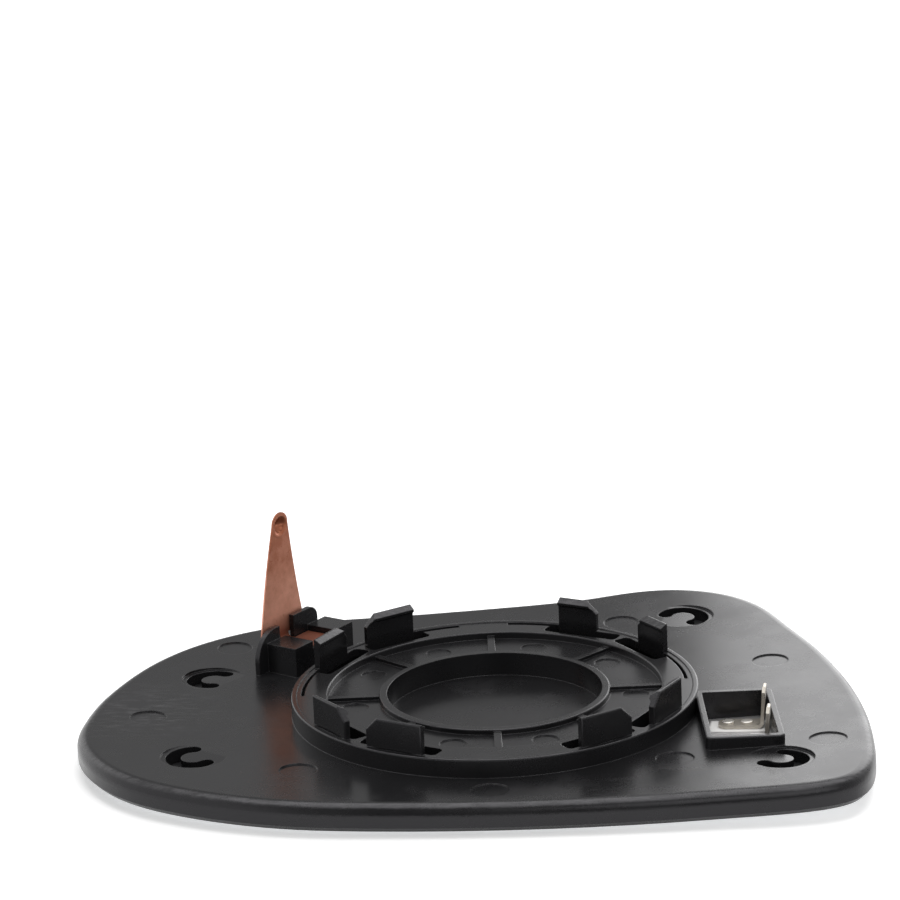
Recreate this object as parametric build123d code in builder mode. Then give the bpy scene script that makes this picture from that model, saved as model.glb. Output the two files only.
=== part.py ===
"""Car door mirror glass lying face down: convex glass, heater film and clip-on backing plate.

Frame: millimetres, +Z up, origin under the middle of the plate at the lowest point of the glass.
+X runs to the wide end, +Y to the slanting edge.
"""
import os
from math import asin, cos, degrees, radians, sin, sqrt, tan

from build123d import *

# Layers of the mirror, from the face upwards
face_radius = 1900.0
glass_thickness = 2.4
film_thickness = 0.8
plate_thickness = 3.3
bond_line = 0.05

# Plan of the backing plate: corner point and corner radius
outline_corners = [
    ((-50.97, -66.45), 98.0),
    ((8.53, -73.55), 560.0),
    ((87.63, -72.15), 16.0),
    ((97.73, -9.85), 195.0),
    ((68.43, 80.55), 30.0),
    ((31.03, 68.85), 120.0),
    ((-68.17, 57.85), 61.0),
    ((-90.67, 5.95), 102.0),
    ((-95.57, -41.15), 46.0),
]
outline_steps = 40
rim_wall = 2.8
glass_edge_gap = 0.25
film_inset = 2.0
back_round = 2.8
face_bevel = 1.2

# Clip ring that snaps on the adjuster
ring_centre = (6.0, -6.0)
ring_radius = 48.5
ring_height = 5.2
ring_lip_width = 1.3
ring_lip_height = 0.2
ring_edge_round = 0.4
deck_inner_radius = 39.8
deck_wall = 2.0
panel_drop = 1.8
well_radius = 25.7
well_wall = 1.9
well_wall_drop = 0.5
well_floor_thickness = 2.0
rib_count = 8
rib_width = 1.8
rib_drop = 0.45

# Snap clips in pairs: angle round the ring, width and side on which the mate stands
clip_places = [
    (31.0, 10.8, 1),
    (61.3, 10.4, -1),
    (123.4, 13.7, 1),
    (149.0, 12.8, -1),
    (214.0, 13.4, 1),
    (239.4, 14.7, -1),
    (302.0, 14.0, 1),
    (328.2, 13.7, -1),
]
clip_pairs = 4
clip_height = 7.1
clip_thickness = 1.5
clip_inset = 1.7
clip_corner = 2.9
clip_edge_round = 0.35
barb_reach = 0.6
barb_drop = 0.9
barb_face = 0.6
barb_underside = 0.5
lead_in_land = 0.6
window_width = 4.4
window_round = 1.2
window_tail = 2.4
window_bridge = 2.4

# Relief slits beside the first four clips: width and sweep away from the mate
relief_slits = [(0.8, 24.0), (1.6, 16.6), (1.6, 15.0), (0.8, 24.0)]

# Pocket outside the ring that holds the leaf spring, with a post behind each block
pocket_angle = 145.0
pocket_offset = -4.3
pocket_gap = 4.9
pocket_length = 8.6
block_width = 7.2
block_height = 7.5
channel_width = 9.4
platform_height = 5.6
post_thickness = 1.3

# The two posts: inner end, outer end, height and corner radius
post_places = [(2.4, 11.2, 10.6, 7.2), (-3.4, -13.2, 11.6, 3.0)]

# Copper leaf spring
leaf_thickness = 0.4
leaf_offset = -1.1
leaf_width = 17.8
leaf_neck_width = 3.3
leaf_neck_shift = -0.4
leaf_seat_gap = 0.05
leaf_foot_inset = 0.6
leaf_foot_clearance = 0.3
leaf_post_gap = 0.3
leaf_bend_radius = 1.2
leaf_bend_angle = 87.0
leaf_shoulder_rise = 0.3
leaf_height = 32.8
leaf_tip_width = 6.0
leaf_tip_shift = -1.2
leaf_cup_width = 5.2
leaf_cup_depth = 1.0
leaf_cup_drop = 3.5

# Connector box beside the ring, with two heater terminals
box_gap = 7.8
box_shift = -22.4
box_width = 18.2
box_length = 31.6
box_wall = 1.5
box_rise = 3.1
box_corner = 1.5
box_edge_round = 0.4
strip_width = 4.8
strip_thickness = 0.8
strip_bend = 1.2
strip_seat_gap = 0.05
foot_length = 10.4
blade_height = 10.0
blade_lean = 0.9
blade_tip_cut = 1.2
blade_tip_bevel = 0.2
terminal_shifts = {"terminal_rear": (6.1, 7.6), "terminal_front": (5.6, -6.7)}
terminal_turn = -10.0
rivet_head = 2.8
rivet_head_height = 0.5
rivet_shank = 1.4
rivet_clearance = 0.05
rivet_pitch = 4.4
rivet_end = 2.3

# Sprung tongues inside C-shaped slots: distance and angle from the ring's axis
tongue_places = [(75.1, 49.0), (73.1, 160.0), (75.8, 202.0), (78.4, 324.0)]
tongue_radius = 2.9
tongue_slot = 3.6
tongue_neck_angle = 70.0
tongue_pad_radius = 7.7
tongue_pad_depth = 0.24
tongue_pad_tilt = 1.2

# Round ejector marks on the back and on the panels of the ring
mark_radius = 4.4
mark_depth = 0.3
mark_places = [
    (-76.7, -7.5),
    (-58.4, 40.6),
    (-39.8, -44.7),
    (3.5, -62.1),
    (45.8, -47.6),
    (73.8, 14.6),
    (81.3, -41.7),
    (39.4, 49.1),
]
panel_mark_radius = 3.1
panel_mark_circle = 33.6
panel_mark_angles = (34.0, 72.0, 113.0, 150.0, 189.0, 252.0, 289.0, 353.0)

os.makedirs("parts", exist_ok=True)

face_centre = (0, 0, face_radius)
pole_turn = (90, 0, 0)
seat_depth = glass_thickness + film_thickness
back_depth = seat_depth + plate_thickness
film_back = seat_depth - bond_line
blank_height = back_depth + 2 * ring_height


def layer_height(depth, x, y):
    """Height at (x, y) of the curved layer that lies this deep behind the face."""
    return face_radius - sqrt((face_radius - depth) ** 2 - x**2 - y**2)


def touching_plane(depth, x, y):
    """Plane that touches the curved layer at (x, y) and looks up out of it."""
    point = Vector(x, y, layer_height(depth, x, y))
    normal = (Vector(*face_centre) - point).normalized()
    return Plane(origin=point, x_dir=Vector(0, 1, 0).cross(normal), z_dir=normal)


def on_ring(radius, angle):
    """Point at this radius and angle from the ring's axis."""
    turn = radians(angle)
    return ring_centre[0] + radius * cos(turn), ring_centre[1] + radius * sin(turn)


def ring_section(angle):
    """Upright plane through the ring's axis, local x outwards at this angle."""
    turn = radians(angle)
    outwards = (cos(turn), sin(turn), 0)
    return Plane(origin=(*ring_centre, ring_base), x_dir=outwards, z_dir=(sin(turn), -cos(turn), 0))


ring_base = layer_height(back_depth, *ring_centre)
ring_plane = Plane(origin=(*ring_centre, ring_base))
ring_axis = Axis((*ring_centre, 0), (0, 0, 1))
sink = plate_thickness / 2
deck_top = ring_height - ring_lip_height
deck_under = deck_top - deck_wall
panel_top = deck_top - panel_drop
well_top = deck_top - well_wall_drop
well_outer = well_radius + well_wall
rib_top = well_top - rib_drop
stem_outer = ring_radius - clip_inset
stem_inner = stem_outer - clip_thickness
clip_top = ring_height + clip_height
pocket_inner_radius = ring_radius + pocket_gap
box_middle = (ring_centre[0] + ring_radius + box_gap, ring_centre[1] + box_shift)
terminal_places = {
    name: (box_middle[0] + x, box_middle[1] + y) for name, (x, y) in terminal_shifts.items()
}

# Plan of the rim as a chain of tangent lines and arcs
with BuildLine() as corner_chain:
    FilletPolyline(
        *[corner for corner, _ in outline_corners],
        radius=[radius for _, radius in outline_corners],
        close=True,
    )
corner_path = corner_chain.wires()[0]


def rim_outline(inset):
    """Plan of the rim moved inwards, as one smooth closed curve."""
    points = []
    for step in range(outline_steps):
        share = step / outline_steps
        inward = (corner_path % share).rotate(Axis.Z, 90)
        points.append(corner_path @ share + inward * inset)
    with BuildSketch() as plan:
        with BuildLine():
            Spline(*points, periodic=True)
        make_face()
    return plan.sketch


def snap_clip(width, mate):
    """Clip on the +X side of the ring, hooked inwards, its cut corner towards the mate."""
    with BuildPart() as clip:
        with BuildSketch(Plane.YZ):
            with BuildLine():
                Polyline(
                    (-mate * width / 2, deck_under),
                    (mate * width / 2, deck_under),
                    (mate * width / 2, clip_top - clip_corner),
                    (mate * (width / 2 - clip_corner), clip_top),
                    (-mate * width / 2, clip_top),
                    close=True,
                )
            make_face()
        extrude(amount=ring_radius)
        with BuildSketch(Plane.XZ):
            with BuildLine():
                Polyline(
                    (stem_outer, deck_under),
                    (stem_outer, clip_top),
                    (stem_outer - lead_in_land, clip_top),
                    (stem_inner - barb_reach, clip_top - barb_drop),
                    (stem_inner - barb_reach, clip_top - barb_drop - barb_face),
                    (stem_inner, clip_top - barb_drop - barb_face - barb_underside),
                    (stem_inner, deck_under),
                    close=True,
                )
            make_face()
        extrude(amount=width, both=True, mode=Mode.INTERSECT)
        fillet(faces().sort_by(Axis.X)[-1].edges(), radius=clip_edge_round)
    return clip.part


def clip_window(angle, width, mate):
    """Window in the deck inside a clip on the +X side, from the pair's bridge to past the far end."""
    pair_step = 360 / clip_pairs
    to_pair_middle = abs((angle % pair_step) - pair_step / 2)
    mate_end = stem_inner * tan(radians(to_pair_middle)) - window_bridge / 2
    far_end = width / 2 + window_tail
    with BuildPart() as window:
        with BuildSketch(Plane.XY.offset(panel_top - deck_wall)):
            with Locations((stem_inner - window_width / 2, mate * (mate_end - far_end) / 2)):
                RectangleRounded(window_width, mate_end + far_end, window_round)
        extrude(amount=ring_height)
    return window.part


# Space inside the rim that the glass and the film fill
with BuildPart() as glass_seat:
    with BuildSketch():
        add(rim_outline(rim_wall))
    extrude(amount=blank_height)
    with Locations(face_centre):
        Sphere(face_radius - seat_depth, rotation=pole_turn, mode=Mode.SUBTRACT)

# C-shaped slot whose neck points along +X
with BuildLine() as tongue_arc:
    CenterArc((0, 0), tongue_radius + tongue_slot / 2, tongue_neck_angle, 360 - 2 * tongue_neck_angle)
with BuildSketch() as tongue_outline:
    SlotArc(arc=tongue_arc.edges()[0], height=tongue_slot)

# Shallow round marks cut into the curved back
with BuildPart() as back_marks:
    for x, y in mark_places:
        with BuildSketch(touching_plane(back_depth - mark_depth, x, y)):
            Circle(mark_radius)
        extrude(amount=sink)
    for radius, angle in tongue_places:
        pad_plane = touching_plane(back_depth - tongue_pad_depth, *on_ring(radius, angle))
        with BuildSketch(pad_plane.rotated((0, 0, angle)).rotated((0, tongue_pad_tilt, 0))):
            Circle(tongue_pad_radius)
        extrude(amount=sink)

# Windows and relief slits of the clip ring
with BuildPart() as ring_openings:
    for angle, width, mate in clip_places:
        with Locations(ring_plane.rotated((0, 0, angle))):
            add(clip_window(angle, width, mate))
    for (angle, width, mate), (slit_width, slit_sweep) in zip(clip_places, relief_slits):
        clip_end = angle - mate * degrees(asin(width / 2 / stem_inner))
        with BuildSketch(ring_section(clip_end)):
            with Locations((stem_inner, deck_under - deck_wall)):
                Rectangle(slit_width, blank_height, align=(Align.MIN, Align.MIN))
        revolve(axis=ring_axis, revolution_arc=-mate * slit_sweep)

with BuildPart() as snap_clips:
    for angle, width, mate in clip_places:
        with Locations(ring_plane.rotated((0, 0, angle))):
            add(snap_clip(width, mate))

# Pocket frame: local x outwards from the ring, local y along the leaf's width
pocket_turn = radians(pocket_angle)
pocket_base = layer_height(back_depth, *on_ring(pocket_inner_radius, pocket_angle))
pocket_plane = Plane(
    origin=(*ring_centre, pocket_base), x_dir=(cos(pocket_turn), sin(pocket_turn), 0), z_dir=(0, 0, 1)
)
pocket_outer_radius = pocket_inner_radius + pocket_length
pocket_width = channel_width + 2 * block_width
post_plane = Plane(
    origin=pocket_plane.from_local_coords((pocket_outer_radius, 0, 0)),
    x_dir=pocket_plane.y_dir,
    z_dir=pocket_plane.x_dir,
)

# Connector box beside the ring
box_base = layer_height(back_depth, *box_middle)
box_inner_width = box_width - 2 * box_wall
box_inner_length = box_length - 2 * box_wall
with BuildPart() as box_block:
    with BuildSketch(Plane.XY.offset(box_base - sink)):
        with Locations(box_middle):
            RectangleRounded(box_width, box_length, box_corner)
    extrude(amount=sink + box_rise)
    fillet(faces().sort_by(Axis.Z)[-1].edges(), radius=box_edge_round)

with BuildPart() as backing_plate:
    # Curved plate with a rounded back edge and a bevelled face edge
    with BuildSketch():
        add(rim_outline(0))
    extrude(amount=blank_height)
    with Locations(face_centre):
        Sphere(face_radius, rotation=pole_turn, mode=Mode.INTERSECT)
        Sphere(face_radius - back_depth, rotation=pole_turn, mode=Mode.SUBTRACT)
    curved_faces = faces().filter_by(GeomType.SPHERE).sort_by(Axis.Z)
    fillet(curved_faces[-1].edges(), radius=back_round)
    face_edges = faces().filter_by(GeomType.SPHERE).sort_by(Axis.Z)[0].edges()
    chamfer(face_edges, length=face_bevel)
    add(glass_seat.part, mode=Mode.SUBTRACT)
    with BuildSketch():
        for radius, angle in tongue_places:
            with Locations(Location((*on_ring(radius, angle), 0), (0, 0, angle + 180))):
                add(tongue_outline.sketch)
    extrude(amount=blank_height, mode=Mode.SUBTRACT)

    # Clip ring: rim of the well, sunk panels, deck and outer lip
    with BuildSketch(ring_section(0)) as ring_profile:
        with BuildLine():
            Polyline(
                (well_radius, -sink),
                (well_radius, well_top),
                (well_outer, well_top),
                (well_outer, panel_top),
                (deck_inner_radius, panel_top),
                (deck_inner_radius, deck_top),
                (ring_radius - ring_lip_width, deck_top),
                (ring_radius - ring_lip_width, ring_height),
                (ring_radius, ring_height),
                (ring_radius, -sink),
                close=True,
            )
        make_face()
        for edge in ((well_outer, well_top), (deck_inner_radius, deck_top), (ring_radius, ring_height)):
            fillet(ring_profile.vertices().sort_by_distance(edge)[0], radius=ring_edge_round)
    revolve(axis=ring_axis)
    # Hollow under the deck and the panels
    with BuildSketch(ring_section(0)):
        with BuildLine():
            Polyline(
                (well_outer, -back_depth),
                (well_outer, panel_top - deck_wall),
                (deck_inner_radius + deck_wall, panel_top - deck_wall),
                (deck_inner_radius + deck_wall, deck_under),
                (ring_radius - deck_wall, deck_under),
                (ring_radius - deck_wall, -back_depth),
                close=True,
            )
        make_face()
    revolve(axis=ring_axis, mode=Mode.SUBTRACT)
    with BuildSketch(ring_plane.offset(well_floor_thickness - plate_thickness)):
        Circle(well_radius)
    extrude(amount=blank_height, mode=Mode.SUBTRACT)
    with BuildSketch(ring_plane.offset(panel_top - mark_depth)):
        for angle in panel_mark_angles:
            turn = radians(angle)
            with Locations((panel_mark_circle * cos(turn), panel_mark_circle * sin(turn))):
                Circle(panel_mark_radius)
    extrude(amount=panel_drop - mark_depth, mode=Mode.SUBTRACT)
    rib_length = deck_inner_radius - well_outer + well_wall
    with BuildSketch(ring_plane.offset(panel_top - deck_wall / 2)):
        with PolarLocations(well_outer - well_wall / 2 + rib_length / 2, rib_count):
            Rectangle(rib_length, rib_width)
    extrude(amount=rib_top - panel_top + deck_wall / 2)
    add(ring_openings.part, mode=Mode.SUBTRACT)
    add(snap_clips.part)

    # Pocket of the leaf spring: platform, two blocks and two posts with a rounded corner
    with BuildSketch(pocket_plane.offset(-sink)):
        with Locations((pocket_inner_radius, pocket_offset)):
            Rectangle(pocket_length + post_thickness, pocket_width, align=(Align.MIN, Align.CENTER))
    extrude(amount=sink + platform_height)
    with BuildSketch(pocket_plane.offset(-sink)):
        for side in (-1, 1):
            with Locations((pocket_inner_radius, pocket_offset + side * (channel_width + block_width) / 2)):
                Rectangle(pocket_length, block_width, align=(Align.MIN, Align.CENTER))
    extrude(amount=sink + block_height)
    with BuildSketch(post_plane) as posts:
        for inside, outside, height, _ in post_places:
            with Locations(((inside + outside) / 2, -sink)):
                Rectangle(abs(outside - inside), height + sink, align=(Align.CENTER, Align.MIN))
        for _, outside, height, corner in post_places:
            fillet(posts.vertices().sort_by_distance((outside, height))[0], radius=corner)
    extrude(amount=post_thickness)

    # Connector box: four walls round an opening down to the film
    add(box_block.part)
    with BuildSketch():
        with Locations(box_middle):
            RectangleRounded(box_inner_width, box_inner_length, box_corner / 2)
    extrude(amount=blank_height, mode=Mode.SUBTRACT)
    add(back_marks.part, mode=Mode.SUBTRACT)
backing_plate.part.label = "backing_plate"
export_step(backing_plate.part, "parts/backing_plate.step")

# Convex mirror glass
with BuildPart() as mirror_glass:
    with BuildSketch():
        add(rim_outline(rim_wall + glass_edge_gap))
    extrude(amount=blank_height)
    with Locations(face_centre):
        Sphere(face_radius, rotation=pole_turn, mode=Mode.INTERSECT)
        Sphere(face_radius - glass_thickness, rotation=pole_turn, mode=Mode.SUBTRACT)
mirror_glass.part.label = "mirror_glass"
export_step(mirror_glass.part, "parts/mirror_glass.step")

# Terminal strip bent to an L, its blade at the +X end, built at the origin
rivet_places = [(rivet_end - foot_length, 0), (rivet_end + rivet_pitch - foot_length, 0)]
with BuildPart() as terminal:
    with BuildSketch(Plane.XZ):
        with BuildLine():
            FilletPolyline(
                (-foot_length, strip_thickness / 2),
                (0, strip_thickness / 2),
                (blade_lean, blade_height),
                radius=strip_bend,
            )
        trace(line_width=strip_thickness)
    extrude(amount=strip_width / 2, both=True)
    fillet(edges().filter_by(Axis.Z).group_by(Axis.X)[0], radius=strip_width * 0.45)
    blade_tip = faces().sort_by(Axis.Z)[-1]
    chamfer(blade_tip.edges().sort_by(SortBy.LENGTH)[:2], length=blade_tip_cut)
    blade_tip = faces().sort_by(Axis.Z)[-1]
    chamfer(blade_tip.edges().sort_by(SortBy.LENGTH)[-2:], length=blade_tip_bevel)
    with Locations(*rivet_places):
        Hole(rivet_shank / 2 + rivet_clearance)

# Rivet from the glass side of the film up to a domed head on the foot
film_depth = film_thickness - 2 * bond_line
head_level = strip_seat_gap + strip_thickness
with BuildPart() as rivet:
    with BuildSketch(Plane.XY.offset(rivet_clearance - film_depth)):
        Circle(rivet_shank / 2)
    extrude(amount=film_depth - rivet_clearance + head_level + rivet_head_height / 2)
    with BuildSketch(Plane.XY.offset(head_level)):
        Circle(rivet_head / 2)
    extrude(amount=rivet_head_height)
    fillet(edges().group_by(Axis.Z)[-1], radius=rivet_head_height * 0.7)

# Terminals stand on the film, square to its curve
terminal_seats = {
    name: touching_plane(film_back, *place).rotated((0, 0, terminal_turn)) for name, place in terminal_places.items()
}
for name, seat in terminal_seats.items():
    with BuildPart() as placed_terminal:
        with Locations(seat.offset(strip_seat_gap)):
            add(terminal.part)
    placed_terminal.part.label = name
    export_step(placed_terminal.part, f"parts/{name}.step")

with BuildPart() as terminal_rivets:
    for seat in terminal_seats.values():
        with Locations(seat):
            with Locations(*rivet_places):
                add(rivet.part)
terminal_rivets.part.label = "terminal_rivets"
export_step(terminal_rivets.part, "parts/terminal_rivets.step")

# Heater film between the glass and the plate
with BuildPart() as heater_film:
    with BuildSketch():
        add(rim_outline(rim_wall + film_inset))
    extrude(amount=blank_height)
    with Locations(face_centre):
        Sphere(face_radius - glass_thickness - bond_line, rotation=pole_turn, mode=Mode.INTERSECT)
        Sphere(face_radius - film_back, rotation=pole_turn, mode=Mode.SUBTRACT)
    for seat in terminal_seats.values():
        with BuildSketch(seat):
            with Locations(*rivet_places):
                Circle(rivet_shank / 2 + rivet_clearance)
        extrude(amount=film_thickness, both=True, mode=Mode.SUBTRACT)
heater_film.part.label = "heater_film"
export_step(heater_film.part, "parts/heater_film.step")

# Leaf spring: foot in the channel, neck between the posts, tapered blade with a cupped tip
leaf_level = platform_height + leaf_seat_gap + leaf_thickness / 2
leaf_blade_radius = pocket_outer_radius + post_thickness + leaf_post_gap + leaf_thickness / 2
leaf_foot_end = pocket_outer_radius - leaf_post_gap
leaf_foot_width = channel_width - 2 * leaf_foot_clearance
leaf_shoulder = leaf_level + leaf_bend_radius + leaf_shoulder_rise
leaf_top = platform_height + leaf_height
leaf_origin = pocket_plane.from_local_coords((0, leaf_offset, 0))
leaf_section = Plane(origin=leaf_origin, x_dir=pocket_plane.x_dir, z_dir=-pocket_plane.y_dir)
leaf_front = Plane(origin=leaf_origin, x_dir=pocket_plane.y_dir, z_dir=pocket_plane.x_dir)
cup_radius = (leaf_cup_width**2 / 4 + leaf_cup_depth**2) / (2 * leaf_cup_depth)
cup_front = leaf_blade_radius - leaf_thickness / 2 + leaf_cup_depth - cup_radius
cup_centre = leaf_section.from_local_coords((cup_front, leaf_top - leaf_cup_drop, -leaf_tip_shift))
with BuildPart() as leaf_cup:
    with Locations(cup_centre):
        Sphere(cup_radius + leaf_thickness)
    split(bisect_by=leaf_front.offset(leaf_blade_radius), keep=Keep.TOP)

with BuildPart() as leaf_foot:
    with BuildSketch(pocket_plane.offset(platform_height + leaf_seat_gap)):
        with Locations((pocket_inner_radius + leaf_foot_inset, pocket_offset)):
            foot_length_inside = leaf_foot_end - pocket_inner_radius - leaf_foot_inset
            Rectangle(foot_length_inside, leaf_foot_width, align=(Align.MIN, Align.CENTER))
    extrude(amount=leaf_thickness)

with BuildPart() as leaf_spring:
    with BuildSketch(leaf_section):
        with BuildLine():
            foot = Line(
                (pocket_inner_radius + leaf_foot_inset, leaf_level),
                (leaf_blade_radius - leaf_bend_radius, leaf_level),
            )
            bend = JernArc(foot @ 1, foot % 1, leaf_bend_radius, leaf_bend_angle)
            TangentArc(bend @ 1, (leaf_blade_radius, leaf_top), tangent=bend % 1)
        trace(line_width=leaf_thickness)
    extrude(amount=leaf_width, both=True)
    add(leaf_cup.part)
    with BuildSketch(leaf_front):
        with BuildLine():
            tip_level = leaf_top - leaf_tip_width / 2
            blade = Polyline(
                (leaf_tip_shift + leaf_tip_width / 2, tip_level),
                (leaf_width / 2, leaf_shoulder),
                (leaf_neck_shift + leaf_neck_width / 2, leaf_shoulder),
                (leaf_neck_shift + leaf_neck_width / 2, 0),
                (leaf_neck_shift - leaf_neck_width / 2, 0),
                (leaf_neck_shift - leaf_neck_width / 2, leaf_shoulder),
                (-leaf_width / 2, leaf_shoulder),
                (leaf_tip_shift - leaf_tip_width / 2, tip_level),
            )
            ThreePointArc(blade @ 1, (leaf_tip_shift, leaf_top), blade @ 0)
        make_face()
    extrude(amount=2 * leaf_blade_radius, mode=Mode.INTERSECT)
    with Locations(cup_centre):
        Sphere(cup_radius, mode=Mode.SUBTRACT)
    add(leaf_foot.part)
leaf_spring.part.label = "leaf_spring"
export_step(leaf_spring.part, "parts/leaf_spring.step")
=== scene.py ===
"""Looks of a heated car door mirror glass that lies on its face with the back plate up.

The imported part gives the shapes. This file gives them their finishes, makes the rivet heads of the
terminals and the bottom of the cup in the spring's tip, and sets the floor, the light and the
camera. All lengths are in metres.
"""
import math

import bmesh
import bpy
from bpy.props import FloatProperty, FloatVectorProperty, IntProperty, PointerProperty
from mathutils import Matrix, Vector


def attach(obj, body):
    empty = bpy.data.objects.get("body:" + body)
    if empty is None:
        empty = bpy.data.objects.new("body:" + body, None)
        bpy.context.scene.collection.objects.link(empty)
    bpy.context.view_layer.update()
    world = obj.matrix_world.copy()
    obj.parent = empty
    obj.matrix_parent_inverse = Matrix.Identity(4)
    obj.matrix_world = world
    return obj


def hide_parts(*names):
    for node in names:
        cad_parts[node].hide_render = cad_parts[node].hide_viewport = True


bl_info = {
    "name": "Door mirror glass",
    "version": (1, 0, 0),
    "blender": (4, 5, 0),
    "location": "View3D > Sidebar > Mirror glass",
    "description": "Finishes, rivet heads, spring cup and stage of a heated door mirror glass",
    "category": "Object",
}

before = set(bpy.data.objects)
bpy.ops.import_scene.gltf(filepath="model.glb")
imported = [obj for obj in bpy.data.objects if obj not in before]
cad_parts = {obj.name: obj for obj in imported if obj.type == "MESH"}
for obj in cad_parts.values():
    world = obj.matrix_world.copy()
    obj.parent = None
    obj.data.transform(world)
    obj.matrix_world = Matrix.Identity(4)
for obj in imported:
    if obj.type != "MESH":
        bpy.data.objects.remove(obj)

WHITE = (1.0, 1.0, 1.0)
UP = Vector((0.0, 0.0, 1.0))

# Angle past which the edges of rivet heads and cup stay sharp
SHARP_ANGLE = math.radians(50.0)

# Sphere of the mirror's face, and the radius of the film's back, which carries the terminals
FACE_RADIUS = 1.9
FACE_CENTRE = Vector((0.0, 0.0, FACE_RADIUS))
FILM_BACK = 0.00315
FILM_RADIUS = FACE_RADIUS - FILM_BACK

# Terminals: where their blades stand and how their feet are turned
TERMINAL_PLACES = ((0.0684, -0.0208), (0.0679, -0.0351))
TERMINAL_TURN = math.radians(-10.0)

# Rivets: shifts along a foot, the height of its top, rings on the ends of a head, and its crown
RIVET_SHIFTS = (-0.0081, -0.0037)
RIVET_SEAT = 0.00085
RIVET_RINGS = 7
CROWN_POWER = 3.0

# Ball that fits the mouth of the cup in the spring's tip: its centre, the way into the cup, and how
# far along that way the middle of the sheet lies
CUP_CENTRE = Vector((-0.0424197, 0.0307116, 0.0419364))
CUP_AXIS = Vector((-0.819152, 0.573576, 0.0))
CUP_SHEET = 0.00324

# Section of the cup's shell: degrees from its bottom to its rim outside and inside, steps between
# them, play round the ball, corners round the cup, and the reach within which points are merged
CUP_OUTSIDE = 40.0
CUP_INSIDE = 34.0
CUP_STEPS = 10
CUP_PLAY = 0.00001
CUP_SIDES = 64
CUP_MERGE = 0.0000005


def colour_property(name, description, default):
    """Colour that a user may change."""
    return FloatVectorProperty(
        name=name, description=description, default=default,
        subtype="COLOR", size=3, min=0.0, max=1.0,
    )


def place_property(name, description, default):
    """Point that a user may move."""
    return FloatVectorProperty(
        name=name, description=description, default=default,
        subtype="XYZ", unit="LENGTH", size=3,
    )


def length_property(name, description, default):
    """Length that a user may change."""
    return FloatProperty(
        name=name, description=description, default=default, unit="LENGTH", precision=6
    )


def share_property(name, description, default):
    """Share from 0 to 1 that a user may change."""
    return FloatProperty(
        name=name, description=description, default=default, subtype="FACTOR", min=0.0, max=1.0
    )


def power_property(name, description, default):
    """Power of a lamp in watts."""
    return FloatProperty(
        name=name, description=description, default=default, unit="POWER", min=0.0
    )


def turn_property(name, description, degrees):
    """Angle that a user may change, given here in degrees."""
    return FloatProperty(
        name=name, description=description, default=math.radians(degrees), unit="ROTATION"
    )


class PlateSettings(bpy.types.PropertyGroup):
    """Moulded black plastic of the backing plate"""

    colour: colour_property("Colour", "Colour of the plastic", (0.0078, 0.0077, 0.0082))
    # Colour of rubbed edges and scuffs, and also of the painted highlight band on the rim's shoulder
    rubbed_and_highlight_colour: colour_property(
        "Worn colour", "Colour of rubbed edges and scuffs", (0.125, 0.122, 0.127)
    )
    roughness: share_property("Roughness", "Mean roughness of the moulded skin", 0.25)
    edge_round: length_property("Edge round", "Radius that breaks the sharp edges", 0.00030)
    grain_size: length_property("Grain size", "Size of the grain that the mould leaves", 0.00045)
    grain_depth: length_property("Grain depth", "Depth of that grain", 0.0000012)
    scuff_place: place_property(
        "Scuff place", "Middle of the rubbed patch near the narrow end", (-0.078, -0.004, 0.008)
    )
    scuff_reach: length_property("Scuff reach", "Radius of the rubbed patch", 0.022)


class GlassSettings(bpy.types.PropertyGroup):
    """Silvered convex glass"""

    colour: colour_property("Colour", "Tint of the silvered face", (0.86, 0.88, 0.90))
    edge_colour: colour_property("Edge colour", "Colour of the ground edge", (0.42, 0.50, 0.48))


class FilmSettings(bpy.types.PropertyGroup):
    """Heater film between glass and plate"""

    print_colour: colour_property("Print colour", "Dark heating print", (0.010, 0.010, 0.011))
    foil_colour: colour_property(
        "Foil colour", "Foil on the floor of the connector box", (0.50, 0.49, 0.49)
    )
    pad_colour: colour_property("Pad colour", "White pads under the terminals", (0.84, 0.83, 0.81))


class TerminalSettings(bpy.types.PropertyGroup):
    """Tinned heater terminals and their rivets"""

    colour: colour_property("Colour", "Colour of the tin", (0.60, 0.555, 0.49))
    # Painted highlight: the heads get a brighter copy of the tin, standing in for their lit tops
    highlit_head_colour: colour_property(
        "Head colour", "Colour of the brighter rivet heads", (0.88, 0.85, 0.79)
    )
    roughness: share_property("Roughness", "Roughness of the tin", 0.30)
    head_radius: length_property("Head radius", "Radius of a rivet head", 0.0014)
    head_height: length_property("Head height", "Height of a rivet head", 0.0005)
    head_crown: length_property("Head crown", "Drop of the head from middle to rim", 0.00012)
    head_sides: IntProperty(
        name="Head sides", description="Corners round a rivet head", default=40, min=8
    )


class SpringSettings(bpy.types.PropertyGroup):
    """Copper leaf spring"""

    colour: colour_property("Colour", "Colour of the rolled copper", (0.98, 0.475, 0.335))
    dull_colour: colour_property("Dull colour", "Colour of its tarnish", (0.40, 0.130, 0.064))
    # Painted shade: the foot down in the shaded pocket is coloured dark red-brown
    foot_shade_colour: colour_property(
        "Foot colour", "Colour of the stained foot in the pocket", (0.20, 0.055, 0.028)
    )
    roughness: share_property("Roughness", "Roughness of the rolled skin", 0.36)
    sheet: length_property("Sheet", "Thickness of the copper", 0.0004)
    cup_radius: length_property(
        "Cup radius", "Radius of the ball that fits the mouth of the cup", 0.00388
    )
    cup_bottom: length_property(
        "Cup bottom", "Depth of the cup below the middle of the sheet", 0.0014
    )


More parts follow.
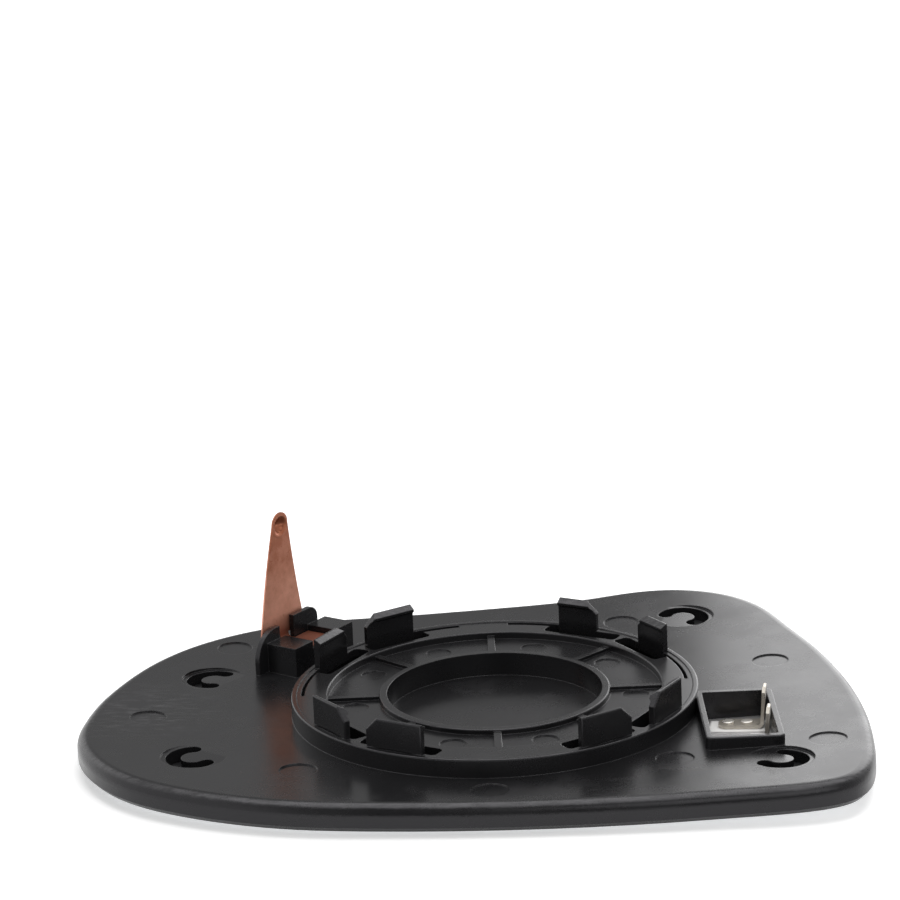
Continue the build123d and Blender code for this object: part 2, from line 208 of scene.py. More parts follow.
class StageSettings(bpy.types.PropertyGroup):
    """Floor, light and camera"""

    floor_colour: colour_property("Floor colour", "Pale floor", (0.90, 0.90, 0.90))
    floor_glow: share_property(
        "Floor glow", "White that the floor shows to the eye on top of its light", 0.26
    )
    far_glow: share_property("Far glow", "The same, far from the object", 0.62)
    shadow_lift: share_property(
        "Shadow lift", "White that thins the shadow on the floor for the camera", 0.14
    )
    floor_size: length_property("Floor size", "Side of the floor", 12.0)
    sky: share_property("Sky", "Even light from all round", 0.50)
    back_sky: share_property("Back sky", "Sky that gloss shows behind the object", 0.41)
    front_sky: share_property("Front sky", "Sky that gloss shows in front of the object", 0.10)
    left_sky: share_property(
        "Left sky", "Sky that gloss shows at the narrow end, on top of the rest", 0.90
    )
    right_sky: share_property(
        "Right sky", "Sky that gloss shows at the wide end, on top of the rest", 0.45
    )
    key_power: power_property("Key power", "Power of the large lamp overhead", 11.0)
    panel_power: power_property("Panel power", "Power of the panel behind the wide end", 0.78)
    front_power: power_property("Front power", "Power of the lamp in front of the object", 1.0)
    camera_place: place_property(
        "Camera place", "Where the camera stands", (-0.00223, -0.76938, 0.28847)
    )
    camera_down: turn_property("Camera down", "Angle below the horizon", 15.930)
    camera_roll: turn_property("Camera roll", "Turn about the line of sight", -2.387)
    lens: FloatProperty(name="Lens", description="Focal length", default=136.0, unit="CAMERA")


class MirrorGlassSettings(bpy.types.PropertyGroup):
    """All settings of the door mirror glass"""

    plate: PointerProperty(type=PlateSettings)
    glass: PointerProperty(type=GlassSettings)
    film: PointerProperty(type=FilmSettings)
    terminals: PointerProperty(type=TerminalSettings)
    spring: PointerProperty(type=SpringSettings)
    stage: PointerProperty(type=StageSettings)


class Nodes:
    """Small helper that fills one node tree."""

    def __init__(self, tree):
        self.tree = tree
        self.tree.nodes.clear()

    def node(self, kind, **settings):
        """New node with its properties set."""
        made = self.tree.nodes.new(kind)
        for key, value in settings.items():
            setattr(made, key, value)
        return made

    def feed(self, target, value):
        """Puts a value or another node's output on an input."""
        if isinstance(value, bpy.types.NodeSocket):
            self.tree.links.new(value, target)
        elif target.type == "RGBA" and len(value) == 3:
            target.default_value = (*value, 1.0)
        else:
            target.default_value = value

    def span(self, value, low, high, to_low=0.0, to_high=1.0):
        """Value between low and high, spread over a new span and held there."""
        ramp = self.node("ShaderNodeMapRange", clamp=True)
        names = ("Value", "From Min", "From Max", "To Min", "To Max")
        for name, number in zip(names, (value, low, high, to_low, to_high)):
            self.feed(ramp.inputs[name], number)
        return ramp.outputs["Result"]

    def math(self, operation, first, second=0.0):
        """Two values joined by one operation."""
        math_node = self.node("ShaderNodeMath", operation=operation)
        self.feed(math_node.inputs[0], first)
        self.feed(math_node.inputs[1], second)
        return math_node.outputs[0]

    def plus(self, first, second):
        """Sum of two values."""
        return self.math("ADD", first, second)

    def times(self, first, second):
        """Product of two values."""
        return self.math("MULTIPLY", first, second)

    def larger(self, first, second):
        """The larger of two values."""
        return self.math("MAXIMUM", first, second)

    def parts(self, vector):
        """The three numbers of a vector."""
        split = self.node("ShaderNodeSeparateXYZ")
        self.feed(split.inputs[0], vector)
        return split.outputs["X"], split.outputs["Y"], split.outputs["Z"]

    def dot(self, first, second):
        """Dot product of two vectors."""
        dot = self.node("ShaderNodeVectorMath", operation="DOT_PRODUCT")
        self.feed(dot.inputs[0], first)
        self.feed(dot.inputs[1], second)
        return dot.outputs["Value"]


# Turn of the normal at a sharp edge, as a dot product, and the samples that find it
EDGE_BEND = (0.985, 0.80)
EDGE_SAMPLES = 6


class Finish(Nodes):
    """Nodes of one material."""

    def __init__(self, name):
        self.material = bpy.data.materials.new(name)
        self.material.use_nodes = True
        super().__init__(self.material.node_tree)
        self.output = self.node("ShaderNodeOutputMaterial")
        self.coords = self.node("ShaderNodeTexCoord").outputs["Object"]
        geometry = self.node("ShaderNodeNewGeometry")
        self.normal = geometry.outputs["True Normal"]
        self.smooth_normal = geometry.outputs["Normal"]

    def shader(self, **inputs):
        """Principled shader on the output, inputs given by name with _ for a space."""
        shader = self.node("ShaderNodeBsdfPrincipled")
        for name, value in inputs.items():
            self.feed(shader.inputs[name.replace("_", " ")], value)
        self.feed(self.output.inputs["Surface"], shader.outputs["BSDF"])

    def stretched(self, scale, turn=0.0):
        """Object coordinates, turned about the upright axis and stretched."""
        mapping = self.node("ShaderNodeMapping", vector_type="POINT")
        self.feed(mapping.inputs["Vector"], self.coords)
        self.feed(mapping.inputs["Rotation"], (0.0, 0.0, turn))
        self.feed(mapping.inputs["Scale"], scale)
        return mapping.outputs["Vector"]

    def patch(self, middle, half, turn=0.0, soft=0.03):
        """1 inside an upright box with this middle and half sides, turned about the upright."""
        mapping = self.node("ShaderNodeMapping", vector_type="TEXTURE")
        self.feed(mapping.inputs["Vector"], self.coords)
        self.feed(mapping.inputs["Location"], middle)
        self.feed(mapping.inputs["Rotation"], (0.0, 0.0, turn))
        self.feed(mapping.inputs["Scale"], (half[0], half[1], 1.0))
        x, y, _ = self.parts(mapping.outputs["Vector"])
        reach = self.larger(self.math("ABSOLUTE", x), self.math("ABSOLUTE", y))
        return self.span(reach, 1.0 + soft, 1.0 - soft)

    def near(self, place, reach):
        """1 at a place, falling to 0 at this distance."""
        distance = self.node("ShaderNodeVectorMath", operation="DISTANCE")
        self.feed(distance.inputs[0], self.coords)
        self.feed(distance.inputs[1], place)
        return self.span(distance.outputs["Value"], reach, 0.0)

    def noise(self, size, detail=3.0, rough=0.55, coords=None):
        """Cloudy pattern with features about this large."""
        noise = self.node("ShaderNodeTexNoise", noise_dimensions="3D")
        self.feed(noise.inputs["Vector"], self.coords if coords is None else coords)
        self.feed(noise.inputs["Scale"], 1.0 / size)
        self.feed(noise.inputs["Detail"], detail)
        self.feed(noise.inputs["Roughness"], rough)
        return noise.outputs["Fac"]

    def between(self, share, first, second):
        """Colour between two colours."""
        mix = self.node("ShaderNodeMix", data_type="RGBA")
        self.feed(mix.inputs["Factor"], share)
        colours = [socket for socket in mix.inputs if socket.type == "RGBA"]
        self.feed(colours[0], first)
        self.feed(colours[1], second)
        return next(socket for socket in mix.outputs if socket.type == "RGBA")

    def bump(self, height, depth, normal=None):
        """Normal raised by a pattern of this depth."""
        bump = self.node("ShaderNodeBump")
        self.feed(bump.inputs["Height"], height)
        self.feed(bump.inputs["Distance"], depth)
        if normal is not None:
            self.feed(bump.inputs["Normal"], normal)
        return bump.outputs["Normal"]

    def rounded(self, radius):
        """Normal with the sharp edges broken by a small radius."""
        bevel = self.node("ShaderNodeBevel", samples=EDGE_SAMPLES)
        self.feed(bevel.inputs["Radius"], radius)
        return bevel.outputs["Normal"]

    def edges(self, rounded):
        """1 on sharp edges, 0 on open faces."""
        return self.span(self.dot(rounded, self.normal), *EDGE_BEND)

    def level(self):
        """How level the face is: 1 on top, 0 on walls, -1 underneath."""
        return self.parts(self.normal)[2]


def dress(node_name, material):
    """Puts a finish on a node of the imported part."""
    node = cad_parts.get(node_name)
    if node is None:
        raise RuntimeError(f"the packed part has no {node_name}")
    node.data.materials.clear()
    node.data.materials.append(material)


# Patterns of the black plastic: size of their features, detail and roughness
PLASTIC_GRAIN = {"detail": 2.0, "rough": 0.6}
PLASTIC_CLOUD = {"size": 0.032, "detail": 4.0}
PLASTIC_SMEAR = {"size": 0.011, "detail": 5.0, "rough": 0.62}
PLASTIC_PATCH = {"size": 0.0022, "detail": 5.0, "rough": 0.7}
PLASTIC_SCRATCH = {"size": 0.0011, "detail": 4.0, "rough": 0.65}
SCRATCH_STRETCH = (0.22, 1.0, 1.0)
SCRATCH_TURN = 0.45

# How level a face is: tops, and the upper and lower end of the rim's shoulder
TOP_LEVEL = (0.90, 0.97)
SHOULDER_UPPER = (0.985, 0.94)
SHOULDER_LOWER = (0.62, 0.84)

# Two levels of a pattern, and the shares of wear that they give; on the rim's shoulder that share is
# wear and painted highlight
EDGE_WEAR = (0.40, 0.70, 0.0, 0.45)
RIM_WEAR_AND_HIGHLIGHT = (0.36, 0.74, 0.08, 0.50)
SCUFF_WEAR = (0.50, 0.72, 0.0, 0.5)
DUST_WEAR = (0.54, 0.78, 0.0, 0.06)

# Two levels of a pattern, and what they add to the roughness
CLOUD_ROUGH = (0.3, 0.7, -0.04, 0.05)
SMEAR_ROUGH = (0.35, 0.75, -0.025, 0.06)
GRAIN_ROUGH = (0.2, 0.8, -0.02, 0.02)

# Levels of the cloud that lighten the plastic, by how much, and its gloss
CLOUD_TONE = (0.30, 0.72)
PALE_SHARE = 1.35
PLASTIC_GLOSS = 0.38
PLASTIC_TINT = (0.97, 0.955, 1.0)


class MIRRORGLASS_OT_plate(bpy.types.Operator):
    """Gives the backing plate its moulded black plastic"""

    bl_idname = "mirrorglass.plate"
    bl_label = "Backing plate"

    def execute(self, context):
        look = context.scene.mirror_glass.plate
        finish = Finish("black_plastic")
        rounded = finish.rounded(look.edge_round)
        grain = finish.noise(look.grain_size, **PLASTIC_GRAIN)
        cloud = finish.noise(**PLASTIC_CLOUD)
        smear = finish.noise(**PLASTIC_SMEAR)
        patchy = finish.noise(**PLASTIC_PATCH)
        scratched = finish.stretched(SCRATCH_STRETCH, SCRATCH_TURN)
        scratch = finish.noise(**PLASTIC_SCRATCH, coords=scratched)

        # Rubbed edges, the rim's shoulder lightened as wear and as a painted highlight, scuffs near
        # the narrow end, and dust on top
        on_top = finish.span(finish.level(), *TOP_LEVEL)
        worn_edge = finish.times(finish.span(patchy, *EDGE_WEAR), finish.edges(rounded))
        # Wear and painted highlight: the rounded shoulder of the rim is lightened by its tilt
        tilt = finish.parts(finish.smooth_normal)[2]
        upper = finish.span(tilt, *SHOULDER_UPPER)
        shoulder = finish.times(upper, finish.span(tilt, *SHOULDER_LOWER))
        worn_and_highlit_rim = finish.times(finish.span(scratch, *RIM_WEAR_AND_HIGHLIGHT), shoulder)
        scuffed = finish.times(finish.near(look.scuff_place, look.scuff_reach), on_top)
        scuffed = finish.times(finish.span(scratch, *SCUFF_WEAR), scuffed)
        dust = finish.times(finish.span(smear, *DUST_WEAR), on_top)
        wear_and_highlight_share = finish.plus(finish.plus(finish.larger(worn_edge, worn_and_highlit_rim), scuffed), dust)

        pale = [channel * PALE_SHARE for channel in look.colour]
        tone = finish.between(finish.span(cloud, *CLOUD_TONE), look.colour, pale)
        rough = finish.plus(finish.span(cloud, *CLOUD_ROUGH), finish.span(smear, *SMEAR_ROUGH))
        rough = finish.plus(rough, finish.span(grain, *GRAIN_ROUGH))
        finish.shader(
            Base_Color=finish.between(wear_and_highlight_share, tone, look.rubbed_and_highlight_colour),
            Roughness=finish.plus(rough, look.roughness),
            Specular_IOR_Level=PLASTIC_GLOSS,
            Specular_Tint=PLASTIC_TINT,
            Normal=finish.bump(grain, look.grain_depth, rounded),
        )
        dress("backing_plate", finish.material)
        return {"FINISHED"}


# Square of the normal's upright part from the silvered face to the ground edge
GROUND_EDGE = (0.5, 0.2)
GLASS_SMEAR = {"size": 0.03, "detail": 4.0}
GLASS_SMEAR_ROUGH = (0.4, 0.8, 0.0, 0.02)
FACE_TO_EDGE_ROUGH = (0.0, 1.0, 0.015, 0.4)
FACE_TO_EDGE_METAL = (0.0, 1.0, 1.0, 0.0)


class MIRRORGLASS_OT_glass(bpy.types.Operator):
    """Gives the glass its silvered face and ground edge"""

    bl_idname = "mirrorglass.glass"
    bl_label = "Mirror glass"

    def execute(self, context):
        look = context.scene.mirror_glass.glass
        finish = Finish("mirror")
        level = finish.level()
        steep = finish.span(finish.times(level, level), *GROUND_EDGE)
        smeared = finish.span(finish.noise(**GLASS_SMEAR), *GLASS_SMEAR_ROUGH)
        finish.shader(
            Base_Color=finish.between(steep, look.colour, look.edge_colour),
            Metallic=finish.span(steep, *FACE_TO_EDGE_METAL),
            Roughness=finish.plus(finish.span(steep, *FACE_TO_EDGE_ROUGH), smeared),
        )
        dress("mirror_glass", finish.material)
        return {"FINISHED"}


# Fields on the film in the connector box: foil, a strip by the blades, and a pad under each foot
FILM_LEVEL = 0.0042
FOIL_MIDDLE = (0.0623, -0.0284, FILM_LEVEL)
FOIL_HALF = (0.0086, 0.0152)
STRIP_MIDDLE = (0.0690, -0.0276, FILM_LEVEL)
STRIP_HALF = (0.0042, 0.0014)
STRIP_TURN = -0.16
PAD_SHIFT = (-0.0056, 0.0006)
PAD_HALF = (0.0068, 0.0036)

# Creases of the foil
FOIL_METAL = 0.75
FOIL_CREASE = {"size": 0.0026, "detail": 4.0, "rough": 0.6}
CREASE_ROUGH = (0.3, 0.7, 0.34, 0.52)
CREASE_DEPTH = 0.00006


class MIRRORGLASS_OT_film(bpy.types.Operator):
    """Gives the heater film its dark print, and its foil and white pads in the connector box"""

    bl_idname = "mirrorglass.film"
    bl_label = "Heater film"

    def execute(self, context):
        look = context.scene.mirror_glass.film
        finish = Finish("film")
        foil = finish.patch(FOIL_MIDDLE, FOIL_HALF)
        pads = finish.patch(STRIP_MIDDLE, STRIP_HALF, STRIP_TURN)
        for x, y in TERMINAL_PLACES:
            middle = (x + PAD_SHIFT[0], y + PAD_SHIFT[1], FILM_LEVEL)
            pads = finish.larger(pads, finish.patch(middle, PAD_HALF, TERMINAL_TURN))
        crease = finish.noise(**FOIL_CREASE)
        tone = finish.between(foil, look.print_colour, look.foil_colour)
        metal = finish.times(finish.math("SUBTRACT", foil, pads), FOIL_METAL)
        finish.shader(
            Base_Color=finish.between(pads, tone, look.pad_colour),
            Metallic=finish.larger(metal, 0.0),
            Roughness=finish.span(crease, *CREASE_ROUGH),
            Normal=finish.bump(crease, CREASE_DEPTH),
        )
        dress("heater_film", finish.material)
        return {"FINISHED"}


# Tin plate: darker spots and a fine unevenness
TIN_SPOTS = {"size": 0.0016, "detail": 3.0, "rough": 0.5}
TIN_SPOT_TONE = (0.35, 0.75)
TIN_SPOT_SHADE = 0.86
TIN_SPOT_ROUGH = (0.3, 0.7, -0.04, 0.06)
TIN_FINE = {"size": 0.0005, "detail": 2.0}
TIN_FINE_DEPTH = 0.000001
TIN_EDGE = 0.00005
TIN_METAL = 0.75


def tin_finish(name, colour, look):
    """Tin plate of the terminals and rivets."""
    finish = Finish(name)
    spots = finish.noise(**TIN_SPOTS)
    fine = finish.noise(**TIN_FINE)
    dark = [channel * TIN_SPOT_SHADE for channel in colour]
    finish.shader(
        Base_Color=finish.between(finish.span(spots, *TIN_SPOT_TONE), colour, dark),
        Metallic=TIN_METAL,
        Roughness=finish.plus(finish.span(spots, *TIN_SPOT_ROUGH), look.roughness),
        Normal=finish.bump(fine, TIN_FINE_DEPTH, finish.rounded(TIN_EDGE)),
    )
    return finish.material


def rivet_tree(material):
    """Geometry nodes that set a crowned rivet head on every point, along the point's axis."""
    tree = bpy.data.node_groups.new("rivet_heads", "GeometryNodeTree")
    made = Nodes(tree)
    sockets = (
        ("Points", "NodeSocketGeometry"),
        ("Head radius", "NodeSocketFloat"),
        ("Head height", "NodeSocketFloat"),
        ("Head crown", "NodeSocketFloat"),
        ("Head sides", "NodeSocketInt"),
    )
    for name, kind in sockets:
        tree.interface.new_socket(name, in_out="INPUT", socket_type=kind)
    tree.interface.new_socket("Heads", in_out="OUTPUT", socket_type="NodeSocketGeometry")
    given = made.node("NodeGroupInput").outputs

    # Drum with rings on its ends
    drum = made.node("GeometryNodeMeshCylinder", fill_type="TRIANGLE_FAN")
    made.feed(drum.inputs["Vertices"], given["Head sides"])
    made.feed(drum.inputs["Fill Segments"], RIVET_RINGS)
    made.feed(drum.inputs["Radius"], given["Head radius"])
    made.feed(drum.inputs["Depth"], given["Head height"])

    # The drum stands on its foot, and its top falls away towards the rim
    x, y, z = made.parts(made.node("GeometryNodeInputPosition").outputs[0])
    square = made.plus(made.times(x, x), made.times(y, y))
    full_square = made.times(given["Head radius"], given["Head radius"])
    share = made.math("DIVIDE", square, full_square)
    fall = made.times(made.math("POWER", share, CROWN_POWER), given["Head crown"])
    fall = made.times(fall, made.math("GREATER_THAN", z, 0.0))
    lift = made.math("SUBTRACT", made.times(given["Head height"], 0.5), fall)
    move = made.node("ShaderNodeCombineXYZ")
    made.feed(move.inputs["Z"], lift)
    crowned = made.node("GeometryNodeSetPosition")
    made.feed(crowned.inputs["Geometry"], drum.outputs["Mesh"])
    made.feed(crowned.inputs["Offset"], move.outputs[0])

    # One head on each point
    axis = made.node("GeometryNodeInputNamedAttribute", data_type="FLOAT_VECTOR")
    made.feed(axis.inputs["Name"], "axis")
    turn = made.node("FunctionNodeAlignRotationToVector", axis="Z")
    made.feed(turn.inputs["Vector"], axis.outputs["Attribute"])
    copies = made.node("GeometryNodeInstanceOnPoints")
    made.feed(copies.inputs["Points"], given["Points"])
    made.feed(copies.inputs["Instance"], crowned.outputs["Geometry"])
    made.feed(copies.inputs["Rotation"], turn.outputs["Rotation"])
    real = made.node("GeometryNodeRealizeInstances")
    made.feed(real.inputs["Geometry"], copies.outputs["Instances"])
    coated = made.node("GeometryNodeSetMaterial")
    made.feed(coated.inputs["Geometry"], real.outputs["Geometry"])
    made.feed(coated.inputs["Material"], material)
    made.feed(made.node("NodeGroupOutput").inputs["Heads"], coated.outputs["Geometry"])
    return tree


def rivet_points():
    """Mesh with a point under each rivet head and the way that the head looks."""
    places, axes = [], []
    for x, y in TERMINAL_PLACES:
        seat = Vector((x, y, FACE_CENTRE.z - math.sqrt(FILM_RADIUS**2 - x**2 - y**2)))
        up = (FACE_CENTRE - seat).normalized()
        across = Vector((0.0, 1.0, 0.0)).cross(up).normalized()
        along = Matrix.Rotation(TERMINAL_TURN, 3, up) @ across
        for shift in RIVET_SHIFTS:
            places.append(seat + along * shift + up * RIVET_SEAT)
            axes.append(up)
    mesh = bpy.data.meshes.new("rivet_points")
    mesh.from_pydata(places, [], [])
    ways = mesh.attributes.new("axis", "FLOAT_VECTOR", "POINT")
    for way, axis in zip(ways.data, axes):
        way.vector = axis
    return mesh


def shade_smooth(mesh):
    """Smooth shading, apart from the sharp edges."""
    mesh.polygons.foreach_set("use_smooth", [True] * len(mesh.polygons))
    mesh.set_sharp_from_angle(angle=SHARP_ANGLE)


class MIRRORGLASS_OT_terminals(bpy.types.Operator):
    """Gives the terminals their tin and sets a crowned head on each rivet"""

    bl_idname = "mirrorglass.terminals"
    bl_label = "Terminals and rivets"

    def execute(self, context):
        look = context.scene.mirror_glass.terminals
        blade_tin = tin_finish("tinned_terminal", look.colour, look)
        # Painted highlight: a brighter copy of the same tin for the rivet heads
        highlit_head_tin = tin_finish("tinned_head_highlit", look.highlit_head_colour, look)
        for name in ("terminal_rear", "terminal_front"):
            dress(name, blade_tin)
        heads = bpy.data.objects.new("rivet_heads", rivet_points())
        context.scene.collection.objects.link(heads)
        modifier = heads.modifiers.new("rivet_heads", "NODES")
        modifier.node_group = rivet_tree(highlit_head_tin)
        sizes = {
            "Head radius": look.head_radius,
            "Head height": look.head_height,
            "Head crown": look.head_crown,
            "Head sides": look.head_sides,
        }
        for socket in modifier.node_group.interface.items_tree:
            if socket.name in sizes:
                modifier[socket.identifier] = sizes[socket.name]
        context.view_layer.update()
        evaluated = heads.evaluated_get(context.evaluated_depsgraph_get())
        baked = bpy.data.meshes.new_from_object(evaluated)
        heads.modifiers.remove(modifier)
        heads.data = baked
        if not baked.polygons:
            raise RuntimeError("the rivet heads came out empty")
        shade_smooth(baked)
        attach(heads, "root")
        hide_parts("terminal_rivets")
        return {"FINISHED"}


# Patterns of the copper: lines from rolling, clouds and specks
COPPER_ROLLED = {"size": 0.0008, "detail": 3.0}
ROLLED_STRETCH = (1.0, 1.0, 0.05)
ROLLED_DEPTH = 0.000005
COPPER_CLOUD = {"size": 0.007, "detail": 5.0, "rough": 0.62}
COPPER_SPECKS = {"size": 0.0012, "detail": 3.0, "rough": 0.7}

# Darkening by height towards the tip, tarnish by cloud and by specks, their full sum, and the
# painted shade on the foot down in the pocket
TIP_DARKENING = (0.020, 0.039, 0.0, 1.0)
CLOUD_TARNISH = (0.40, 0.80, 0.0, 0.6)
SPECK_TARNISH = (0.60, 0.72, 0.0, 0.25)
FULL_TARNISH = (0.0, 1.1)
FOOT_SHADE = (0.0195, 0.0150, 0.0, 0.9)

# Gloss of the copper
COPPER_CLOUD_ROUGH = (0.3, 0.7, -0.05, 0.08)
COPPER_ROLLED_ROUGH = (0.3, 0.7, -0.03, 0.03)
COPPER_METAL = 0.6
COPPER_BRUSHED = 0.3
COPPER_EDGE = 0.00010


def copper_finish(look):
    """Rolled copper, darker towards the tip of the spring, with painted shade on its foot in the
    pocket.
    """
    finish = Finish("copper_spring")
    rolled = finish.noise(**COPPER_ROLLED, coords=finish.stretched(ROLLED_STRETCH))
    cloud = finish.noise(**COPPER_CLOUD)
    specks = finish.noise(**COPPER_SPECKS)
    height = finish.parts(finish.coords)[2]
    dull = finish.plus(finish.span(cloud, *CLOUD_TARNISH), finish.span(specks, *SPECK_TARNISH))
    # Darker towards the tip, growing with height
    dull = finish.plus(dull, finish.span(height, *TIP_DARKENING))
    tone = finish.between(finish.span(dull, *FULL_TARNISH), look.colour, look.dull_colour)
    clouded = finish.span(cloud, *COPPER_CLOUD_ROUGH)
    rough = finish.plus(clouded, finish.span(rolled, *COPPER_ROLLED_ROUGH))
    finish.shader(
        # Painted shade: the low part of the spring is blended into the dark foot colour
        Base_Color=finish.between(finish.span(height, *FOOT_SHADE), tone, look.foot_shade_colour),
        Metallic=COPPER_METAL,
        Roughness=finish.plus(rough, look.roughness),
        Anisotropic=COPPER_BRUSHED,
        Normal=finish.bump(rolled, ROLLED_DEPTH, finish.rounded(COPPER_EDGE)),
    )
    return finish.material


def cup_section(look):
    """Radius, depth and degrees along the shell's section: outside to the rim, inside back."""
    outer, inner = look.cup_radius + look.sheet, look.cup_radius + CUP_PLAY
    low, high = look.cup_bottom + look.sheet, look.cup_bottom
    shares = [step / CUP_STEPS for step in range(CUP_STEPS + 1)]
    outside = [(outer, low, CUP_OUTSIDE * share) for share in shares]
    inside = [(inner, high, CUP_INSIDE * share) for share in reversed(shares)]
    return outside + inside


def cup_shell(look):
    """Closed shell of the cup's bottom, whose rim ends inside the sheet."""
    side = CUP_AXIS.cross(UP)
    shell = bmesh.new()
    path = []
    for reach, bottom, degrees in cup_section(look):
        angle = math.radians(degrees)
        depth = (reach * math.cos(angle) - CUP_SHEET) * bottom / (reach - CUP_SHEET)
        place = CUP_CENTRE + (CUP_SHEET + depth) * CUP_AXIS + reach * math.sin(angle) * side
        path.append(shell.verts.new(place))
    edges = [shell.edges.new(pair) for pair in zip(path, path[1:])]
    bmesh.ops.spin(
        shell, geom=path + edges, cent=CUP_CENTRE, axis=CUP_AXIS, angle=math.tau, steps=CUP_SIDES
    )
    bmesh.ops.remove_doubles(shell, verts=shell.verts, dist=CUP_MERGE)
    bmesh.ops.recalc_face_normals(shell, faces=shell.faces)
    mesh = bpy.data.meshes.new("spring_cup")
    shell.to_mesh(mesh)
    shell.free()
    shade_smooth(mesh)
    return mesh


class MIRRORGLASS_OT_spring(bpy.types.Operator):
    """Gives the leaf spring its rolled copper and closes the cup in its tip"""

    bl_idname = "mirrorglass.spring"
    bl_label = "Leaf spring"

    def execute(self, context):
        look = context.scene.mirror_glass.spring
        material = copper_finish(look)
        dress("leaf_spring", material)
        cup = bpy.data.objects.new("spring_cup", cup_shell(look))
        if not cup.data.polygons:
            raise RuntimeError("the cup of the spring came out empty")
        cup.data.materials.append(material)
        context.scene.collection.objects.link(cup)
        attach(cup, "root")
        return {"FINISHED"}


# Lamps: place, the point that they look at, and their sides
KEY_LIGHT = ((0.10, 0.15, 1.30), (0.0, 0.0, 0.0), (1.3, 1.3))
PANEL_LIGHT = ((0.215, 0.36, 0.17), (0.20, 0.0, 0.12), (0.27, 0.40))
FRONT_LIGHT = ((0.25, -0.55, 0.45), (-0.05, 0.02, 0.02), (0.5, 0.4))

# Floor: its roughness, the reach of the object's surroundings, and where in them the glow changes
FLOOR_ROUGH = 0.9
FLOOR_MIDDLE = (0.0, 0.0, 0.0)
FLOOR_REACH = 1.0
FLOOR_CHANGE = (0.75, 0.0)

# Ways into the sky, forward and across, between which its brightness changes
FRONT_TO_BACK = (-0.5, 0.6)
TO_THE_LEFT = (-0.20, -0.62)
TO_THE_RIGHT = (0.55, 0.90)

# Camera: width of its sensor in millimetres and the nearest thing that it sees
SENSOR_WIDTH = 36.0
NEAREST = 0.01


def soft_light(name, lamp_place, power):
    """Large soft lamp that looks at a point and isn't seen itself."""
    place, aim, size = lamp_place
    lamp = bpy.data.lights.new(name, "AREA")
    lamp.shape = "RECTANGLE"
    lamp.size, lamp.size_y = size
    lamp.energy = power
    lamp.color = WHITE
    holder = bpy.data.objects.new(name, lamp)
    holder.location = place
    holder.rotation_mode = "QUATERNION"
    holder.rotation_quaternion = (Vector(aim) - Vector(place)).to_track_quat("-Z", "Y")
    holder.visible_camera = False
    bpy.context.scene.collection.objects.link(holder)


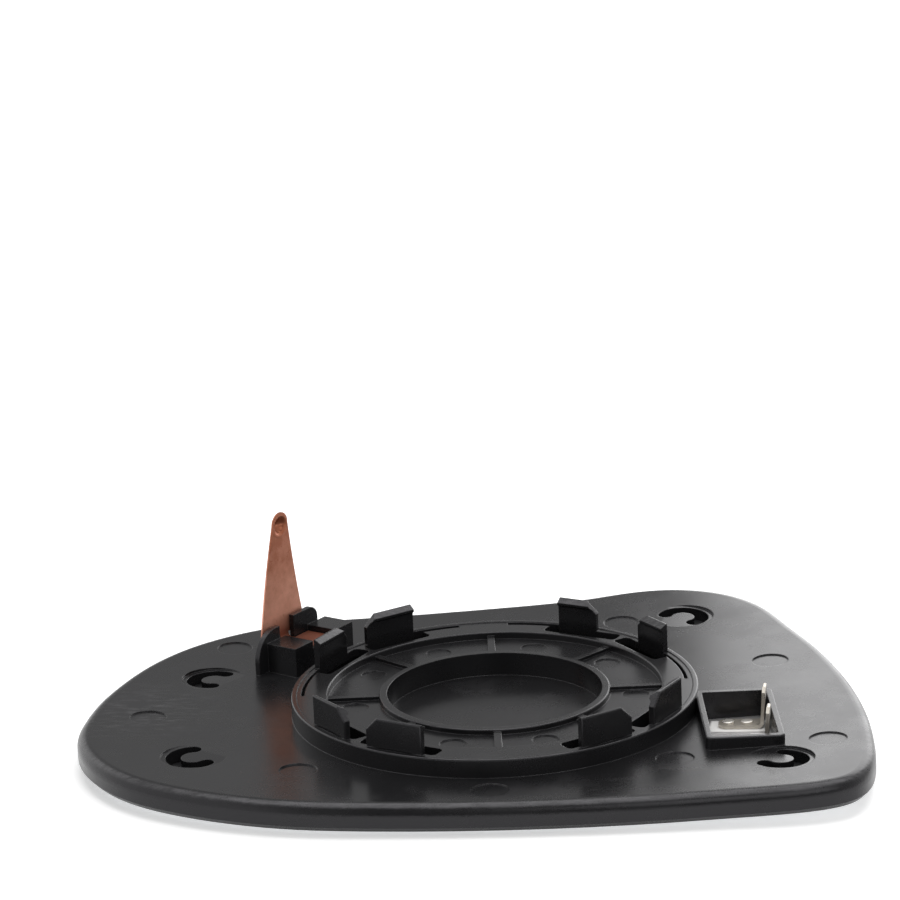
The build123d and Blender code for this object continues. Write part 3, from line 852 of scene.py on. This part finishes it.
class MIRRORGLASS_OT_stage(bpy.types.Operator):
    """Makes the floor, the light and the camera"""

    bl_idname = "mirrorglass.stage"
    bl_label = "Stage"

    def execute(self, context):
        look = context.scene.mirror_glass.stage
        self.floor(look)
        self.sky(look)
        soft_light("key_light", KEY_LIGHT, look.key_power)
        soft_light("panel_light", PANEL_LIGHT, look.panel_power)
        soft_light("front_light", FRONT_LIGHT, look.front_power)
        self.camera(look)
        context.scene.view_settings.view_transform = "Standard"
        return {"FINISHED"}

    def floor(self, look):
        """Pale floor that looks white to the eye and in gloss, and keeps a thin shadow."""
        half = look.floor_size / 2
        rim = [(-half, -half, 0), (half, -half, 0), (half, half, 0), (-half, half, 0)]
        mesh = bpy.data.meshes.new("floor")
        mesh.from_pydata(rim, [], [(0, 1, 2, 3)])
        floor = bpy.data.objects.new("floor", mesh)
        bpy.context.scene.collection.objects.link(floor)
        finish = Finish("pale_floor")
        nearby = finish.near(FLOOR_MIDDLE, FLOOR_REACH)
        white = finish.span(nearby, *FLOOR_CHANGE, look.floor_glow, look.far_glow)
        ray = finish.node("ShaderNodeLightPath").outputs
        seen = finish.larger(ray["Is Camera Ray"], ray["Is Glossy Ray"])
        seen = finish.larger(seen, ray["Is Transmission Ray"])
        lift = finish.times(ray["Is Camera Ray"], look.shadow_lift)
        finish.shader(
            Base_Color=tuple(look.floor_colour),
            Roughness=FLOOR_ROUGH,
            Specular_IOR_Level=0.0,
            Emission_Color=WHITE,
            Emission_Strength=finish.plus(finish.times(seen, white), lift),
        )
        mesh.materials.append(finish.material)

    def sky(self, look):
        """Even light, white to the camera, and for gloss a sky that is brighter on some sides."""
        world = bpy.data.worlds.new("studio")
        world.use_nodes = True
        nodes = Nodes(world.node_tree)
        ray = nodes.node("ShaderNodeLightPath").outputs
        way = nodes.node("ShaderNodeTexCoord").outputs["Generated"]
        across, forward, _ = nodes.parts(way)
        gloss = nodes.span(forward, *FRONT_TO_BACK, look.front_sky, look.back_sky)
        gloss = nodes.plus(gloss, nodes.span(across, *TO_THE_LEFT, 0.0, look.left_sky))
        gloss = nodes.plus(gloss, nodes.span(across, *TO_THE_RIGHT, 0.0, look.right_sky))
        gloss = nodes.span(ray["Is Glossy Ray"], 0.0, 1.0, look.sky, gloss)
        background = nodes.node("ShaderNodeBackground")
        nodes.feed(background.inputs["Color"], WHITE)
        strength = nodes.span(ray["Is Camera Ray"], 0.0, 1.0, gloss, 1.0)
        nodes.feed(background.inputs["Strength"], strength)
        output = nodes.node("ShaderNodeOutputWorld")
        nodes.feed(output.inputs["Surface"], background.outputs["Background"])
        bpy.context.scene.world = world

    def camera(self, look):
        """Camera at the viewing angle, turned down and rolled about its line of sight."""
        down, roll = look.camera_down, look.camera_roll
        ahead = Vector((0.0, math.cos(down), -math.sin(down)))
        level_right = Vector((1.0, 0.0, 0.0))
        level_up = Vector((0.0, math.sin(down), math.cos(down)))
        right = math.cos(roll) * level_right + math.sin(roll) * level_up
        up = -math.sin(roll) * level_right + math.cos(roll) * level_up
        lens = bpy.data.cameras.new("camera")
        lens.lens = look.lens
        lens.sensor_width = SENSOR_WIDTH
        lens.clip_start = NEAREST
        camera = bpy.data.objects.new("camera", lens)
        turn = Matrix((right, up, -ahead)).transposed()
        camera.matrix_world = Matrix.Translation(Vector(look.camera_place)) @ turn.to_4x4()
        bpy.context.scene.collection.objects.link(camera)
        bpy.context.scene.camera = camera


class MIRRORGLASS_PT_panel(bpy.types.Panel):
    """Buttons for each piece of the door mirror glass"""

    bl_idname = "MIRRORGLASS_PT_panel"
    bl_label = "Door mirror glass"
    bl_space_type = "VIEW_3D"
    bl_region_type = "UI"
    bl_category = "Mirror glass"

    def draw(self, context):
        settings = context.scene.mirror_glass
        for operator, group in STEPS:
            box = self.layout.box()
            box.operator(operator.bl_idname)
            values = getattr(settings, group)
            for name in values.__annotations__:
                box.prop(values, name)


STEPS = (
    (MIRRORGLASS_OT_plate, "plate"),
    (MIRRORGLASS_OT_glass, "glass"),
    (MIRRORGLASS_OT_film, "film"),
    (MIRRORGLASS_OT_terminals, "terminals"),
    (MIRRORGLASS_OT_spring, "spring"),
    (MIRRORGLASS_OT_stage, "stage"),
)
GROUPS = (
    PlateSettings,
    GlassSettings,
    FilmSettings,
    TerminalSettings,
    SpringSettings,
    StageSettings,
    MirrorGlassSettings,
)
CLASSES = (*GROUPS, *(operator for operator, _ in STEPS), MIRRORGLASS_PT_panel)


def register():
    """Registers the classes and the settings."""
    for cls in CLASSES:
        bpy.utils.register_class(cls)
    bpy.types.Scene.mirror_glass = PointerProperty(type=MirrorGlassSettings)


def unregister():
    """Takes the settings and the classes out again."""
    del bpy.types.Scene.mirror_glass
    for cls in reversed(CLASSES):
        bpy.utils.unregister_class(cls)


def main():
    """Builds the whole scene."""
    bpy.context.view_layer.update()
    register()
    bpy.ops.mirrorglass.plate()
    bpy.ops.mirrorglass.glass()
    bpy.ops.mirrorglass.film()
    bpy.ops.mirrorglass.terminals()
    bpy.ops.mirrorglass.spring()
    bpy.ops.mirrorglass.stage()


if __name__ == "__main__":
    main()
